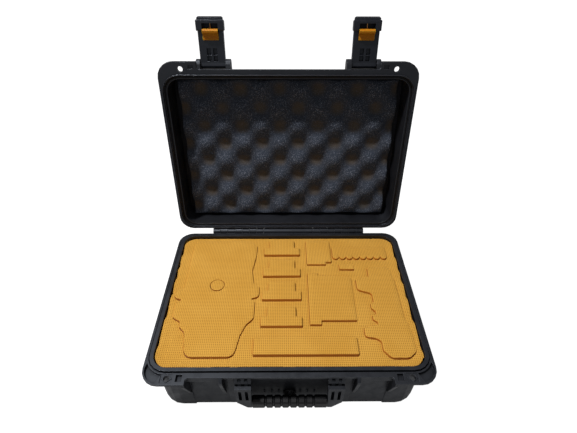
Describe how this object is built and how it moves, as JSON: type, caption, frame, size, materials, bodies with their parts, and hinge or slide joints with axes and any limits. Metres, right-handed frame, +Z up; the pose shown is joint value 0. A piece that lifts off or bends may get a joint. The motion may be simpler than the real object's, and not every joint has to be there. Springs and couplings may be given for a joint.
{
  "type": "rugged carrying case",
  "caption": "open waterproof hard case with hinged lid, sprung-hook latches, folding grip handle, pressure valve and cut foam for a folding drone and its accessories",
  "frame": {"origin": "centre of the base's flat underside", "axes": "+Z up out of the base, +X to the right seen from the front, the front with the handle and latches at -Y, the hinges at +Y"},
  "size_m": [0.4646, 0.4519, 0.5318],
  "materials": {
    "case_plastic": "satin",
    "latch_plastic": "satin",
    "grip_rubber": "matte",
    "seal_rubber": "matte",
    "hook_plastic": "satin",
    "guide_metal": "satin",
    "pin_metal": "satin",
    "insert_foam": "matte",
    "dark_foam": "matte"
  },
  "bodies": {
    "base": {"base_shell": "case_plastic", "foam_base_pad": "dark_foam", "foam_insert": "insert_foam", "hinge_pin_left": "pin_metal", "hinge_pin_right": "pin_metal", "handle_pin_left": "pin_metal", "handle_pin_right": "pin_metal", "valve_body": "latch_plastic", "valve_seal": "seal_rubber", "valve_nut": "latch_plastic"},
    "lid": {"lid_shell": "case_plastic", "lid_seal": "seal_rubber", "lid_foam": "dark_foam", "latch_pin_left": "pin_metal", "latch_pin_right": "pin_metal"},
    "latch_left": {"latch_left": "latch_plastic", "guide_pin_left": "guide_metal"},
    "latch_right": {"latch_right": "latch_plastic", "guide_pin_right": "guide_metal"},
    "hook_left": {"latch_hook_left": "hook_plastic"},
    "hook_right": {"latch_hook_right": "hook_plastic"},
    "handle": {"handle_frame": "case_plastic", "handle_grip": "grip_rubber"},
    "knob": {"valve_knob": "latch_plastic"},
    "drone_piece": {"plug_drone": "insert_foam"},
    "drone_disc": {"plug_drone_disc": "insert_foam"},
    "remote_piece": {"plug_remote": "insert_foam"},
    "charger_piece": {"plug_charger": "insert_foam"},
    "cable_piece": {"plug_cable": "insert_foam"},
    "card_piece": {"plug_card": "insert_foam"},
    "accessory_piece": {"plug_accessory": "insert_foam"},
    "propeller_piece": {"plug_propellers": "insert_foam"},
    "battery_piece_1": {"plug_battery_1": "insert_foam"},
    "battery_piece_2": {"plug_battery_2": "insert_foam"},
    "battery_piece_3": {"plug_battery_3": "insert_foam"},
    "battery_piece_4": {"plug_battery_4": "insert_foam"}
  },
  "joints": [
    {"name": "lid_hinge", "type": "hinge", "parent": "base", "child": "lid", "pos_m": [0, 0.175, 0.1165], "axis": [-1, 0, 0], "range_deg": [-98.68, 0]},
    {"name": "latch_left_swing", "type": "hinge", "parent": "lid", "child": "latch_left", "pos_m": [-0.133, 0.23927, 0.45467], "axis": [-1, 0, 0], "range_deg": [-90, 0]},
    {"name": "latch_right_swing", "type": "hinge", "parent": "lid", "child": "latch_right", "pos_m": [0.133, 0.23927, 0.45467], "axis": [-1, 0, 0], "range_deg": [-90, 0]},
    {"name": "hook_left_pull", "type": "slide", "parent": "latch_left", "child": "hook_left", "axis": [0, 0.1509, 0.9885], "range_m": [0, 0.0045]},
    {"name": "hook_right_pull", "type": "slide", "parent": "latch_right", "child": "hook_right", "axis": [0, 0.1509, 0.9885], "range_m": [0, 0.0045]},
    {"name": "handle_swing", "type": "hinge", "parent": "base", "child": "handle", "pos_m": [0, -0.1605, 0.101], "axis": [-1, 0, 0], "range_deg": [0, 90]},
    {"name": "valve_turn", "type": "hinge", "parent": "base", "child": "knob", "pos_m": [0, -0.1495, 0.0415], "axis": [0, -1, 0], "range_deg": [0, 90]},
    {"name": "drone_lift", "type": "slide", "parent": "base", "child": "drone_piece", "axis": [0, 0, 1], "range_m": [0, 0.09]},
    {"name": "disc_lift", "type": "slide", "parent": "drone_piece", "child": "drone_disc", "axis": [0, 0, 1], "range_m": [0, 0.03]},
    {"name": "remote_lift", "type": "slide", "parent": "base", "child": "remote_piece", "axis": [0, 0, 1], "range_m": [0, 0.09]},
    {"name": "charger_lift", "type": "slide", "parent": "base", "child": "charger_piece", "axis": [0, 0, 1], "range_m": [0, 0.09]},
    {"name": "cable_lift", "type": "slide", "parent": "base", "child": "cable_piece", "axis": [0, 0, 1], "range_m": [0, 0.09]},
    {"name": "card_lift", "type": "slide", "parent": "base", "child": "card_piece", "axis": [0, 0, 1], "range_m": [0, 0.09]},
    {"name": "accessory_lift", "type": "slide", "parent": "base", "child": "accessory_piece", "axis": [0, 0, 1], "range_m": [0, 0.09]},
    {"name": "propeller_lift", "type": "slide", "parent": "base", "child": "propeller_piece", "axis": [0, 0, 1], "range_m": [0, 0.09]},
    {"name": "battery_lift_1", "type": "slide", "parent": "base", "child": "battery_piece_1", "axis": [0, 0, 1], "range_m": [0, 0.09]},
    {"name": "battery_lift_2", "type": "slide", "parent": "base", "child": "battery_piece_2", "axis": [0, 0, 1], "range_m": [0, 0.09]},
    {"name": "battery_lift_3", "type": "slide", "parent": "base", "child": "battery_piece_3", "axis": [0, 0, 1], "range_m": [0, 0.09]},
    {"name": "battery_lift_4", "type": "slide", "parent": "base", "child": "battery_piece_4", "axis": [0, 0, 1], "range_m": [0, 0.09]}
  ]
}
